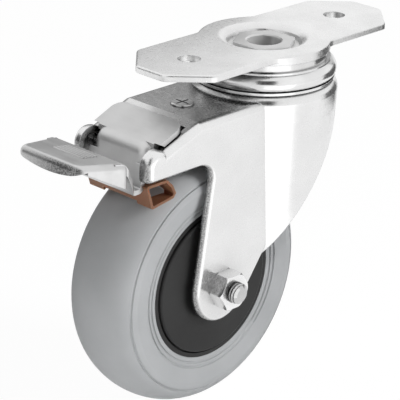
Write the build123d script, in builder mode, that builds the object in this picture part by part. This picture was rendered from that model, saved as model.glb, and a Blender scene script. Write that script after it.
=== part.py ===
from build123d import *
from math import asin, atan2, cos, hypot, radians, sin, sqrt, tan
import os

# Swivel castor with a foot brake, fixed by a two-hole plate.
# Frame, in millimetres: Z is the swivel axis, z = 0 is the top face of the plate, the plate's long
# side and the trail lie along X, the wheel trails towards -X and turns about an axle along Y.

# --- fits and clearances -----------------------------------------------------------------------
seat_gap = 0.05          # pieces fixed together, round their seats
running_gap = 0.05       # turning fits: balls, rollers and pivots, on the radius
side_gap = 0.1           # turning faces that meet side on

# --- overall layout ----------------------------------------------------------------------------
wheel_radius = 50.0
trail = 40.0             # swivel axis to wheel axle
tread_drop = 34.0        # plate top face to the top of the tread
axle_drop = tread_drop + wheel_radius
sheet = 2.5              # fork sheet
lever_sheet = 1.8        # brake lever sheet

# --- top plate ---------------------------------------------------------------------------------
plate_length = 120.0
plate_width = 40.0
plate_thickness = 2.5
plate_nose_width = 14.0  # short end edge of each ear
plate_nose_cut = 13.0    # how far the ear's corners are cut back
plate_corner = 4.0
plate_edge = 0.8         # rolled blanking edge
bulge_radius = 25.0      # round middle of the plate
bulge_fillet = 5.0
bulge_rim_drop = 1.0     # turned-down rim of the round middle
hole_spacing = 80.0
hole_radius = 4.25
dish_radius = 17.8       # pressed seat of the king pin's hexagon
dish_throat = 14.2       # inner end of the rounded shoulder
dish_throat_drop = 1.6
dish_floor_radius = 13.4
dish_depth = 3.2

# --- king pin and ball races -------------------------------------------------------------------
pin_hex = 21.5           # across flats
pin_head_below = 1.4     # the hexagon stays this far under the plate's top face
pin_radius = 9.5
pin_bore = 6.5
pin_flange_radius = 12.5
pin_flange = 2.0         # swaged lower end
upper_ball = 2.5
upper_ball_ring = 20.0
upper_ball_count = 20
lower_ball = 2.5
lower_ball_ring = 14.5
lower_ball_count = 16
upper_race_radius = 24.0
cover_lip_radius = 25.3
cover_radius = 27.6      # widest line of the dust cover
cover_rim_radius = 26.8
cover_sheet = 1.2
cover_gap = 0.4          # dust cover to the race under it
crown_race_radius = 27.2
crown_race_thickness = 1.0
lower_race_radius = 18.4
lower_race_thickness = 3.4
track_depth = 0.7        # how deep a ball lies in its track

# heights, from the plate down
plate_bottom = -plate_thickness
dish_bottom = plate_bottom - dish_depth
upper_ball_z = -11.1
race_top_step = -6.6     # where the dust cover hooks under the upper race
upper_track_z = upper_ball_z + upper_ball + running_gap - track_depth
cover_widest = -9.9
cover_bottom = -13.0
boss_top = cover_bottom - cover_gap - crown_race_thickness
boss_bottom = boss_top - sheet
crown_top = -16.5
crown_bottom = crown_top - sheet
lower_track_z = boss_bottom
lower_ball_z = lower_track_z - lower_ball - running_gap + 0.45
lower_race_top = lower_ball_z - lower_ball - running_gap + track_depth
lower_race_bottom = lower_race_top - lower_race_thickness
pin_bottom = lower_race_bottom - pin_flange

# --- fork --------------------------------------------------------------------------------------
fork_half = 19.9         # outer faces of the legs
bend_radius = 3.0        # outside of the pressed bends
boss_bend = 4.0          # outside of the bend round the raised boss
boss_hole_gap = 1.6      # the king pin passes freely through the boss
drum_radius = 28.4       # round front of the fork, the boss on top of it
drum_taper = 2.5         # how far the round front draws in on its way down
drum_lower_radius = drum_radius - drum_taper
drum_lower_z = 7.0 - axle_drop
leg_end_radius = 14.0
leg_rear_lean = 9.1      # degrees from upright
front_hem_z = -27.0      # lower edge of the fork's front
front_hem_x = 19.64
front_hem_fillet = 12.0
wing_bottom = -33.3
wing_corner = 6.0
wing_flange = 4.4        # how far the rolled edge reaches inwards
crown_rear = -56.8       # rear edge of the crown between the wings
crown_slope_start = -53.0
ear_radius = 6.0
ear_rise_x = 3.4         # where the sloping edge meets the ear, ahead of its centre
ear_x = -73.4
ear_z = -27.8
nose_corner = 2.2

# --- axle --------------------------------------------------------------------------------------
axle_radius = 4.0        # M8
axle_clearance = 0.1
hex_m8 = 13.0
bolt_head = 5.3
nut_height = 6.5
bolt_end = 9.9           # bolt length past the leg, nut included
tube_radius = 6.0

# --- wheel -------------------------------------------------------------------------------------
tyre_half = 16.0
tyre_crown = 10.4        # height of the rounded tread over its widest line
tyre_seat = 29.7
tyre_seat_half = 14.4
tyre_key = 3.3           # rib of the wheel centre that holds the tyre
tyre_key_half = 8.0
shoulder_groove = 42.6
side_grooves = (33.4, 31.6)
groove_size = 0.45
rim_inner = 26.0
rim_seat = 28.0          # recess of the thread guard
guard_radius = 27.4
guard_outer_half = 15.4
guard_inner_half = 13.0
guard_edge = 0.8
guard_bore_gap = 0.4     # guard to the axle tube
spigot_length = 2.5      # short collar that plugs the guard into the rim
spigot_wall = 1.5
spigot_gap = 0.1
web_half = 3.0
hub_radius = 13.0
hub_half = 13.0
roller = 1.5
roller_count = 10
roller_length = 22.0
cage_wall_gap = 0.3

# --- brake -------------------------------------------------------------------------------------
hood_half = 17.0         # wide upper part of the lever, over the wings
throat_half = 14.1       # narrow part between the wings
hood_front = -58.4
hood_notch = -71.2
knee_inset = 0.7         # the pedal's front end is a little narrower than the fork
knee_half = fork_half - knee_inset
pad_rear_half = 15.5
pad_front = -87.4
pad_rear = -108.8
pad_corner = 4.5
pad_edge = 2.2
pad_lip = 3.0            # depth of the pad's rear rim at its ends
apron_drop = 2.2         # how much deeper the rear rim hangs in its middle
apron_shoulder = 1.2     # how much the rim's curve rises above its ends
cheek_rear_drop = 3.8    # depth of the pad's sides at their rear end
cheek_bottom = -32.6     # lower front corner of the pad's sides
knee_step = 0.8          # the web's edges stay inside the pad's sides
waist_half = 17.0        # half width of the lever's web halfway down
waist_x = -84.0
pivot_x = -67.0
pivot_z = -29.2
knee = (-89.4, -23.6)    # the lever's path, along the middle of its sheet
pad_end = (-93.0, -23.04)
web_low = (-80.6, -37.2)
throat_low = (-76.9, -37.2)
hood_bend = (-73.3, -22.83)
hood_start = (-57.4, -16.3)
pad_raise = 0.12
hood_corner = 4.5
valley_round = 2.5       # outside of the two bends at the bottom of the throat
knee_round = 2.5
throat_corner = 5.0      # rounded sides of the throat
hood_round = 6.0         # outside of the bend from the hood into the throat
lug_radius = 5.0
ear_gap = 1.5            # lever to the wings' ears, brake off
stud_radius = 3.0
stud_collar = 3.8
stud_pocket = 1.6        # coined into the inner face of each ear, blind
rib_count = 5
rib_pitch = 1.5
rib_radius = 0.5
rib_length = 15.0
shoe_half = 16.0
shoe_wall = 1.0
shoe_pocket = 8.0        # depth of the hollow ends
saddle_half = 8.7        # the middle is hollowed straight across, the ends follow the tread
neck_top = -31.0
neck_front = -68.6
shoe_top = -35.4
shoe_rest_gap = 0.8      # shoe to tread, brake off
shoe_brake_gap = 0.35    # shoe to tread, brake on
brake_angle = 12.0       # degrees of lever travel
leaf = 1.0
leaf_half = 8.0
leaf_front = -38.0
leaf_bend = 4.0          # inside of the spring's two bends
leaf_flat_end = -49.0    # where the spring leaves the crown
leaf_low = (-63.0, -24.6)
leaf_tip = (-68.6, -26.2)
rivet_x = -43.0
rivet_radius = 2.2
rivet_head_radius = 4.3
rivet_head = 0.8
rivet_head_edge = 0.5
rivet_tail = 1.2
rivet_tail_radius = 3.5
stake_length = 6.4       # cross-shaped mark of the riveting tool
stake_width = 0.7
stake_depth = 0.5

axle_centre = (-trail, -axle_drop)
leg_inner = fork_half - sheet
pivot = (pivot_x, pivot_z)
wheel_plane = Plane(origin=(-trail, 0, -axle_drop), x_dir=(0, 1, 0), z_dir=(1, 0, 0))
wheel_axis = Axis((-trail, 0, -axle_drop), (0, 1, 0))
axle_plane = Plane(origin=(-trail, 0, -axle_drop), x_dir=(1, 0, 0), z_dir=(0, -1, 0))
pivot_axis = Axis((pivot_x, 0, pivot_z), (0, 1, 0))

os.makedirs("parts", exist_ok=True)


def save(builder, name):
    builder.part.label = name
    export_step(builder.part, f"parts/{name}.step")


def tube_y(radius, y_from, y_to, centre):
    """Cylinder along Y between two values of y, made apart from any context."""
    middle = (centre[0], (y_from + y_to) / 2, centre[1])
    cylinder = Cylinder(radius, abs(y_to - y_from), mode=Mode.PRIVATE)
    return Pos(*middle) * Rot(90, 0, 0) * cylinder


def hexagon_y(across, y_from, y_to, centre, chamfer_size):
    """Hexagon along Y with corners fore and aft and its outer corners turned off."""
    with BuildPart() as blank:
        with BuildSketch(Plane((centre[0], y_from, centre[1]), x_dir=(1, 0, 0), z_dir=(0, -1, 0))):
            RegularPolygon(across / 2, 6, major_radius=False)
        extrude(amount=y_from - y_to)
        with BuildSketch(Plane((centre[0], y_from, centre[1]), x_dir=(1, 0, 0), z_dir=(0, -1, 0))):
            Circle(across / sqrt(3))
        extrude(amount=y_from - y_to, mode=Mode.INTERSECT)
    with BuildPart() as turned:
        with BuildSketch(Plane((centre[0], y_from, centre[1]), x_dir=(1, 0, 0), z_dir=(0, -1, 0))):
            Circle(across / sqrt(3))
        extrude(amount=y_from - y_to)
        chamfer(turned.edges().filter_by(GeomType.CIRCLE), chamfer_size)
    return blank.part & turned.part


# === top plate =================================================================================
with BuildPart() as top_plate:
    with BuildSketch(Plane.XY.offset(plate_bottom)) as plate_outline:
        half_length = plate_length / 2
        half_width = plate_width / 2
        half_nose = plate_nose_width / 2
        ear_start = half_length - plate_nose_cut
        with BuildLine():
            Polyline(
                (ear_start, half_width),
                (half_length, half_nose),
                (half_length, -half_nose),
                (ear_start, -half_width),
                (-ear_start, -half_width),
                (-half_length, -half_nose),
                (-half_length, half_nose),
                (-ear_start, half_width),
                close=True,
            )
        make_face()
        fillet(plate_outline.vertices(), plate_corner)
        Circle(bulge_radius)
        corners = plate_outline.vertices().filter_by(
            lambda v: abs(abs(v.Y) - half_width) < 0.01 and abs(v.X) < bulge_radius
        )
        fillet(corners, bulge_fillet)
    extrude(amount=plate_thickness)
    fillet(top_plate.faces().sort_by(Axis.Z)[-1].outer_wire().edges(), plate_edge)
    # turned-down rim of the round middle
    with BuildSketch(Plane.XY.offset(plate_bottom)):
        Circle(bulge_radius)
        Circle(upper_race_radius + seat_gap, mode=Mode.SUBTRACT)
    extrude(amount=-bulge_rim_drop)
    # pressed seat for the hexagon of the king pin
    with BuildSketch(Plane.XZ):
        with BuildLine():
            Polyline(
                (0, plate_bottom),
                (dish_throat + plate_thickness, plate_bottom),
                (dish_floor_radius + plate_thickness, dish_bottom),
                (0, dish_bottom),
                close=True,
            )
        make_face()
    revolve(axis=Axis.Z)
    with BuildSketch(Plane.XZ):
        with BuildLine():
            TangentArc((dish_radius, 0), (dish_throat, -dish_throat_drop), tangent=(-1, 0))
            Polyline(
                (dish_throat, -dish_throat_drop),
                (dish_floor_radius, -dish_depth),
                (0, -dish_depth),
                (0, 0),
                (dish_radius, 0),
            )
        make_face()
    revolve(axis=Axis.Z, mode=Mode.SUBTRACT)
    with GridLocations(hole_spacing, 0, 2, 1):
        Hole(hole_radius)
    Hole(pin_radius + seat_gap)
save(top_plate, "top_plate")

# === king pin: hollow, hexagon above, swaged flange below =======================================
with BuildPart() as king_pin:
    with BuildSketch(Plane.XY.offset(-dish_depth)):
        RegularPolygon(pin_hex / 2, 6, major_radius=False, rotation=30)
    extrude(amount=dish_depth - pin_head_below)
    with BuildSketch(Plane.XY.offset(-dish_depth)):
        Circle(pin_hex / sqrt(3) - 0.5)
    extrude(amount=dish_depth - pin_head_below, taper=-8, mode=Mode.INTERSECT)
    with BuildSketch(Plane.XY.offset(pin_bottom)):
        Circle(pin_radius)
    extrude(amount=-dish_depth - pin_bottom)
    with BuildSketch(Plane.XY.offset(pin_bottom)):
        Circle(pin_flange_radius)
    extrude(amount=pin_flange)
    fillet(king_pin.faces().sort_by(Axis.Z)[0].edges(), 0.6)
    Hole(pin_bore)
    mouth = king_pin.faces().sort_by(Axis.Z)[-1].edges().filter_by(GeomType.CIRCLE).sort_by(SortBy.RADIUS)[0]
    chamfer(mouth, 0.5)
save(king_pin, "king_pin")

# === upper race, fixed under the plate ==========================================================
with BuildPart() as upper_race:
    with BuildSketch(Plane.XZ):
        with BuildLine():
            dish_wall = dish_throat + plate_thickness + seat_gap
            dish_heel = dish_floor_radius + plate_thickness + seat_gap
            hook_radius = upper_race_radius - 1.1
            Polyline(
                (pin_radius + seat_gap, dish_bottom),
                (dish_heel, dish_bottom),
                (dish_wall, plate_bottom),
                (upper_race_radius, plate_bottom),
                (upper_race_radius, race_top_step),
                (hook_radius, race_top_step),
                (hook_radius, upper_track_z),
                (upper_ball_ring - upper_ball - 0.5, upper_track_z),
                (upper_ball_ring - upper_ball - 1.5, dish_bottom - sheet),
                (pin_radius + seat_gap, dish_bottom - sheet),
                close=True,
            )
        make_face()
        with Locations((upper_ball_ring, upper_ball_z)):
            Circle(upper_ball + running_gap, mode=Mode.SUBTRACT)
    revolve(axis=Axis.Z)
save(upper_race, "upper_race")

# === dust cover: flared ring hooked under the upper race =========================================
with BuildPart() as dust_cover:
    with BuildSketch(Plane.XZ):
        with BuildLine():
            lip_in = hook_radius + seat_gap
            flange_bottom = race_top_step - cover_sheet
            Line((lip_in, flange_bottom), (lip_in, race_top_step))
            Line((lip_in, race_top_step), (cover_lip_radius, race_top_step))
            Line((cover_lip_radius, race_top_step), (cover_lip_radius, race_top_step - 0.7))
            ThreePointArc(
                (cover_lip_radius, race_top_step - 0.7),
                (cover_radius, cover_widest),
                (cover_rim_radius, cover_bottom),
            )
            Line((cover_rim_radius, cover_bottom), (cover_rim_radius - cover_sheet, cover_bottom))
            ThreePointArc(
                (cover_rim_radius - cover_sheet, cover_bottom),
                (cover_radius - cover_sheet, cover_widest),
                (cover_lip_radius - cover_sheet, flange_bottom),
            )
            Line((cover_lip_radius - cover_sheet, flange_bottom), (lip_in, flange_bottom))
        make_face()
    revolve(axis=Axis.Z)
save(dust_cover, "dust_cover")

# === upper ball ring and the race on the fork's crown ===========================================
with BuildPart() as upper_balls:
    with Locations((0, 0, upper_ball_z)):
        with PolarLocations(upper_ball_ring, upper_ball_count):
            Sphere(upper_ball)
save(upper_balls, "upper_balls")

with BuildPart() as crown_race:
    with BuildSketch(Plane.XZ):
        with BuildLine():
            track_top = upper_ball_z - upper_ball - running_gap + track_depth
            flange_top = boss_top + crown_race_thickness
            inner_edge = pin_radius + 1.6
            Polyline(
                (inner_edge, boss_top),
                (crown_race_radius, boss_top),
                (crown_race_radius, flange_top),
                (upper_ball_ring + upper_ball + 0.4, flange_top),
                (upper_ball_ring + upper_ball - 0.2, track_top),
                (upper_ball_ring - upper_ball + 0.2, track_top),
                (upper_ball_ring - upper_ball - 0.4, flange_top),
                (inner_edge, flange_top),
                close=True,
            )
        make_face()
        with Locations((upper_ball_ring, upper_ball_z)):
            Circle(upper_ball + running_gap, mode=Mode.SUBTRACT)
    revolve(axis=Axis.Z)
save(crown_race, "crown_race")

# === fork: one pressed sheet ====================================================================
ear_meet = (
    ear_x + ear_rise_x,
    ear_z + sqrt(ear_radius**2 - ear_rise_x**2),
)
front_angle = atan2(front_hem_z - axle_centre[1], front_hem_x - axle_centre[0]) + asin(
    leg_end_radius / hypot(front_hem_z - axle_centre[1], front_hem_x - axle_centre[0])
)
rear_angle = radians(leg_rear_lean)
front_tangent = (
    axle_centre[0] + leg_end_radius * sin(front_angle),
    axle_centre[1] - leg_end_radius * cos(front_angle),
)
rear_tangent = (
    axle_centre[0] - leg_end_radius * cos(rear_angle),
    axle_centre[1] + leg_end_radius * sin(rear_angle),
)
hem_corner = (front_hem_x, front_hem_z)
wing_root = (rear_tangent[0] + (wing_bottom - rear_tangent[1]) * tan(rear_angle), wing_bottom)
nose_x = ear_x - ear_radius


def head_profile(inset):
    """Side view of the crown, the sloping wings and the ears, moved in by one wall."""
    with BuildSketch(mode=Mode.PRIVATE) as profile:
        with BuildLine():
            Polyline(
                ear_meet,
                (crown_slope_start, crown_top),
                (drum_radius, crown_top),
                (drum_radius, -axle_drop - wheel_radius),
                (nose_x, -axle_drop - wheel_radius),
                (nose_x, ear_z),
            )
            ThreePointArc(
                (nose_x, ear_z),
                (ear_x - ear_radius * sin(radians(30)), ear_z + ear_radius * cos(radians(30))),
                ear_meet,
            )
        make_face()
        if inset:
            offset(amount=-inset, kind=Kind.INTERSECTION, mode=Mode.REPLACE)
    return profile.sketch


def shell_body(inset):
    """Boss, crown, legs and wings as a solid, moved in by one wall; the bends keep their centre."""
    bend = bend_radius - inset
    with BuildPart() as body:
        with BuildSketch(Plane.XZ):
            add(head_profile(inset))
        extrude(amount=fork_half - inset, both=True)
        with BuildSketch(Plane.XY.offset(crown_top + 1)):
            with Locations((drum_radius / 2, 0)):
                Rectangle(drum_radius, 4 * fork_half)
        extrude(amount=-2 * wheel_radius - axle_drop, mode=Mode.SUBTRACT)
        rim = body.edges().filter_by(
            lambda e: abs(abs(e.center().Y) - (fork_half - inset)) < 0.01
            and e.center().Z > wing_bottom
            and abs(e.tangent_at(0.5).Z) < 0.99
        )
        fillet(rim, bend)
        with BuildSketch(Plane.XZ):
            with BuildLine():
                top = boss_top - inset
                outer = drum_radius - inset
                turn = boss_bend - inset
                Line((0, top), (outer - turn, top))
                ThreePointArc(
                    (outer - turn, top),
                    (outer - turn + turn * sin(radians(45)), top - turn + turn * cos(radians(45))),
                    (outer, top - turn),
                )
                Line((outer, top - turn), (drum_lower_radius - inset, drum_lower_z))
                Line((drum_lower_radius - inset, drum_lower_z), (0, drum_lower_z))
                Line((0, drum_lower_z), (0, top))
            make_face()
        revolve(axis=Axis.Z)
    return body.part


with BuildPart() as fork:
    add(shell_body(0))
    add(shell_body(sheet), mode=Mode.SUBTRACT)
    # side outline: front hem, sloping legs, round axle ends, wings
    with BuildSketch(Plane.XZ) as side:
        with BuildLine():
            Polyline(
                front_tangent,
                hem_corner,
                (drum_radius + 2, front_hem_z),
                (drum_radius + 2, boss_top + 1),
                (nose_x - 1, boss_top + 1),
                (nose_x - 1, wing_bottom),
                wing_root,
                rear_tangent,
            )
            ThreePointArc(rear_tangent, (axle_centre[0], axle_centre[1] - leg_end_radius), front_tangent)
        make_face()
        corner = side.vertices().sort_by_distance(hem_corner)[0]
        fillet(corner, front_hem_fillet)
        corner = side.vertices().sort_by_distance(wing_root)[0]
        fillet(corner, wing_corner)
    extrude(amount=drum_radius + 1, both=True, mode=Mode.INTERSECT)
    # the hood's way between the rolled edges of the wings
    with BuildSketch(Plane.XY.offset(crown_top + 1)):
        with Locations(((crown_rear + nose_x - 5) / 2, 0)):
            Rectangle(crown_rear - nose_x + 5, 2 * (fork_half - wing_flange))
    extrude(amount=wing_bottom - crown_top - 2, mode=Mode.SUBTRACT)
    with BuildSketch(Plane.XY.offset(boss_top)):
        Circle(pin_radius + boss_hole_gap)
    extrude(amount=-2 * sheet, mode=Mode.SUBTRACT)
    with BuildSketch(Plane.XZ):
        with Locations((lower_ball_ring, lower_ball_z)):
            Circle(lower_ball + running_gap)
    revolve(axis=Axis.Z, mode=Mode.SUBTRACT)
    with BuildSketch(Plane.XY.offset(crown_top)):
        with Locations((rivet_x, 0)):
            Circle(rivet_radius + seat_gap)
    extrude(amount=-2 * sheet, mode=Mode.SUBTRACT)
    add(tube_y(axle_radius + axle_clearance, -drum_radius, drum_radius, axle_centre), mode=Mode.SUBTRACT)
    pocket_end = leg_inner + stud_pocket
    add(tube_y(stud_radius + running_gap, -pocket_end, pocket_end, pivot), mode=Mode.SUBTRACT)
    nose_edges = fork.edges().filter_by(
        lambda e: abs(e.center().X - nose_x) < 0.6 and abs(e.center().Z - wing_bottom) < 0.1
    )
    fillet(nose_edges.filter_by(Axis.Y), nose_corner)
save(fork, "fork")

# === lower ball ring and race ===================================================================
with BuildPart() as lower_balls:
    with Locations((0, 0, lower_ball_z)):
        with PolarLocations(lower_ball_ring, lower_ball_count):
            Sphere(lower_ball)
save(lower_balls, "lower_balls")

with BuildPart() as lower_race:
    with BuildSketch(Plane.XZ):
        with BuildLine():
            lip = lower_race_radius - 1.2
            Polyline(
                (pin_radius + seat_gap, lower_race_bottom),
                (lower_race_radius, lower_race_bottom),
                (lower_race_radius, lower_ball_z + 0.9),
                (lip, lower_ball_z + 0.9),
                (lip, lower_race_top),
                (pin_radius + seat_gap, lower_race_top),
                close=True,
            )
        make_face()
        with Locations((lower_ball_ring, lower_ball_z)):
            Circle(lower_ball + running_gap, mode=Mode.SUBTRACT)
    revolve(axis=Axis.Z)
save(lower_race, "lower_race")

# === axle ======================================================================================
with BuildPart() as axle_bolt:
    add(hexagon_y(hex_m8, fork_half + bolt_head, fork_half, axle_centre, 0.7))
    add(tube_y(axle_radius, fork_half, -fork_half - bolt_end, axle_centre))
    chamfer(axle_bolt.faces().sort_by(Axis.Y)[0].edges(), 0.7)
save(axle_bolt, "axle_bolt")

with BuildPart() as axle_nut:
    add(hexagon_y(hex_m8, -fork_half, -fork_half - nut_height, axle_centre, 0.7))
    add(tube_y(axle_radius + seat_gap, 0, -2 * fork_half, axle_centre), mode=Mode.SUBTRACT)
save(axle_nut, "axle_nut")

with BuildPart() as axle_tube:
    add(tube_y(tube_radius, -leg_inner, leg_inner, axle_centre))
    add(tube_y(axle_radius + axle_clearance, -fork_half, fork_half, axle_centre), mode=Mode.SUBTRACT)
save(axle_tube, "axle_tube")

# === wheel =====================================================================================
widest = wheel_radius - tyre_crown
roller_ring = tube_radius + running_gap + roller
hub_bore = roller_ring + roller + running_gap


def shoulder_half(radius):
    """Half width of the rounded tread at one radius."""
    return tyre_half * sqrt(1 - ((radius - widest) / tyre_crown) ** 2)


def sidewall_half(radius):
    """Half width of the flat sidewall at one radius."""
    return tyre_seat_half + (tyre_half - tyre_seat_half) * (radius - tyre_seat) / (widest - tyre_seat)


with BuildPart() as tyre:
    with BuildSketch(wheel_plane):
        with BuildLine():
            EllipticalCenterArc((0, widest), tyre_half, tyre_crown, start_angle=0, arc_size=180)
            Line((-tyre_half, widest), (-tyre_seat_half, tyre_seat))
            Polyline(
                (-tyre_seat_half, tyre_seat),
                (-tyre_key_half, tyre_seat),
                (-tyre_key_half, tyre_seat + tyre_key),
                (tyre_key_half, tyre_seat + tyre_key),
                (tyre_key_half, tyre_seat),
                (tyre_seat_half, tyre_seat),
            )
            Line((tyre_seat_half, tyre_seat), (tyre_half, widest))
        make_face()
        with Locations(*[(side * shoulder_half(shoulder_groove), shoulder_groove) for side in (-1, 1)]):
            Circle(groove_size, mode=Mode.SUBTRACT)
        with Locations(*[(side * sidewall_half(r), r) for side in (-1, 1) for r in side_grooves]):
            Circle(groove_size, mode=Mode.SUBTRACT)
    revolve(axis=wheel_axis)
save(tyre, "tyre")

with BuildPart() as wheel_centre:
    with BuildSketch(wheel_plane):
        with BuildLine():
            seat = tyre_seat - seat_gap
            quarter = Polyline(
                (0, seat + tyre_key),
                (tyre_key_half - seat_gap, seat + tyre_key),
                (tyre_key_half - seat_gap, seat),
                (tyre_seat_half, seat),
                (tyre_seat_half, rim_seat),
                (guard_inner_half, rim_seat),
                (guard_inner_half, rim_inner),
                (web_half, rim_inner),
                (web_half, hub_radius),
                (hub_half, hub_radius),
                (hub_half, hub_bore),
                (0, hub_bore),
            )
            mirror(quarter, about=Plane.YZ)
        make_face()
    revolve(axis=wheel_axis)
save(wheel_centre, "wheel_centre")

for side, name in ((-1, "thread_guard_near"), (1, "thread_guard_far")):
    with BuildPart() as guard:
        add(tube_y(guard_radius, side * guard_inner_half, side * guard_outer_half, axle_centre))
        outer_face = guard.faces().sort_by(Axis.Y)[-1 if side > 0 else 0]
        fillet(outer_face.edges(), guard_edge)
        spigot = rim_inner - spigot_gap
        spigot_end = side * (guard_inner_half - spigot_length)
        add(tube_y(spigot, side * guard_inner_half, spigot_end, axle_centre))
        add(tube_y(spigot - spigot_wall, side * guard_inner_half, spigot_end, axle_centre), mode=Mode.SUBTRACT)
        add(tube_y(tube_radius + guard_bore_gap, 0, side * fork_half, axle_centre), mode=Mode.SUBTRACT)
    save(guard, name)

with BuildPart() as rollers:
    with Locations(axle_plane):
        with PolarLocations(roller_ring, roller_count):
            Cylinder(roller, roller_length)
save(rollers, "rollers")

with BuildPart() as roller_cage:
    add(tube_y(hub_bore - cage_wall_gap, -hub_half + 0.5, hub_half - 0.5, axle_centre))
    add(tube_y(tube_radius + cage_wall_gap, -fork_half, fork_half, axle_centre), mode=Mode.SUBTRACT)
    with Locations(axle_plane):
        with PolarLocations(roller_ring, roller_count):
            Cylinder(roller + running_gap, roller_length + 0.2, mode=Mode.SUBTRACT)
save(roller_cage, "roller_cage")

# === brake lever: one pressed sheet with hood, throat and pedal pad ==============================
half_sheet = lever_sheet / 2
pad_slope = (pad_end[1] - knee[1]) / (pad_end[0] - knee[0])
hood_slope = (hood_bend[1] - hood_start[1]) / (hood_bend[0] - hood_start[0])
hood_steep = sqrt(1 + hood_slope**2)
wall_lean = (hood_bend[0] - throat_low[0]) / (hood_bend[1] - throat_low[1])


def pad_height(x):
    """Top face of the pad in the side view."""
    return knee[1] + half_sheet + pad_raise + pad_slope * (x - knee[0])


def hood_height(x):
    """Top face of the hood in the side view."""
    return hood_start[1] + half_sheet * hood_steep + hood_slope * (x - hood_start[0])


rim_end = pad_height(pad_rear) - pad_lip
apron_bottom = rim_end - apron_drop

with BuildPart() as pad:
    with BuildSketch(Plane.XY.offset(-60)) as pad_plan:
        with BuildLine():
            Polyline(
                (pad_front, knee_half),
                (pad_rear, pad_rear_half),
                (pad_rear, -pad_rear_half),
                (pad_front, -knee_half),
                close=True,
            )
        make_face()
        fillet(pad_plan.vertices().group_by(Axis.X)[0], pad_corner)
    extrude(amount=50)
    with BuildSketch(Plane.XZ) as pad_side:
        with BuildLine():
            Polyline(
                (pad_front, pad_height(pad_front)),
                (pad_rear - 1, pad_height(pad_rear - 1)),
                (pad_rear - 1, apron_bottom),
                (pad_rear + pad_corner, apron_bottom),
                (pad_rear + pad_corner, pad_height(pad_rear) - cheek_rear_drop),
                (pad_front, cheek_bottom),
                close=True,
            )
        make_face()
        fillet(pad_side.vertices().sort_by_distance((pad_front, pad_height(pad_front)))[0], pad_edge)
    extrude(amount=2 * knee_half, both=True, mode=Mode.INTERSECT)
    rim = pad.faces().filter_by(lambda f: f.normal_at().Z > 0.9).edges()
    fillet(rim.filter_by(lambda e: e.center().X < knee[0]), pad_edge)
    with BuildSketch(Plane.XY.offset(-60)) as pad_hollow:
        with BuildLine():
            Polyline(
                (pad_front, knee_half - lever_sheet),
                (pad_rear + lever_sheet, pad_rear_half - lever_sheet),
                (pad_rear + lever_sheet, -pad_rear_half + lever_sheet),
                (pad_front, -knee_half + lever_sheet),
                close=True,
            )
        make_face()
        fillet(pad_hollow.vertices().group_by(Axis.X)[0], pad_corner - lever_sheet)
    hollow = extrude(amount=50, mode=Mode.PRIVATE)
    with BuildSketch(Plane.XZ):
        with BuildLine():
            Polyline(
                (pad_front + 1, -10),
                (knee[0], -10),
                (knee[0], pad_height(knee[0]) - lever_sheet),
                (pad_rear - 1, pad_height(pad_rear - 1) - lever_sheet),
                (pad_rear - 1, -60),
                (pad_front + 1, -60),
                close=True,
            )
        make_face()
    under = extrude(amount=2 * knee_half, both=True, mode=Mode.PRIVATE)
    add(hollow & under, mode=Mode.SUBTRACT)
    # the rear rim hangs lowest in its middle
    with BuildSketch(Plane.YZ.offset(pad_rear - 1)):
        with BuildLine():
            far_end = (knee_half, rim_end + apron_shoulder)
            near_end = (-knee_half, rim_end + apron_shoulder)
            ThreePointArc(near_end, (0, apron_bottom), far_end)
            Polyline(far_end, (knee_half, -60), (-knee_half, -60), near_end)
        make_face()
    extrude(amount=1 + pad_corner, mode=Mode.SUBTRACT)

# the bent strip from the hood's front edge to the pad's knee
lever_path = (hood_start, hood_bend, throat_low, web_low, knee, pad_end)
path_radii = [hood_round - half_sheet, valley_round - half_sheet, valley_round - half_sheet, knee_round]


def bent_strip(thickness, half_width):
    """The lever's side view as a sheet of one thickness, across the whole width."""
    with BuildPart() as sheet_part:
        with BuildSketch(Plane.XZ):
            with BuildLine():
                FilletPolyline(*lever_path, radius=path_radii)
            trace(line_width=thickness)
        extrude(amount=half_width, both=True)
    return sheet_part.part


with BuildPart() as strip:
    add(bent_strip(lever_sheet, knee_half))
    with BuildSketch(Plane.XY.offset(-60)) as strip_plan:
        with BuildLine():
            Polyline(
                (hood_front, hood_half),
                (hood_notch, hood_half),
                (hood_notch, -hood_half),
                (hood_front, -hood_half),
                close=True,
            )
        make_face()
        fillet(strip_plan.vertices().group_by(Axis.X)[-1], hood_corner)
        with BuildLine():
            right_side = Polyline(
                (throat_low[0] + 1.4, 0),
                (throat_low[0] + 1.4, throat_half),
                (web_low[0], throat_half),
                (waist_x, waist_half),
                (pad_front, knee_half - knee_step),
                (pad_end[0] - 1, knee_half - knee_step - 1),
                (pad_end[0] - 1, 0),
            )
            mirror(right_side, about=Plane.XZ)
        make_face()
    extrude(amount=50, mode=Mode.INTERSECT)


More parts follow.
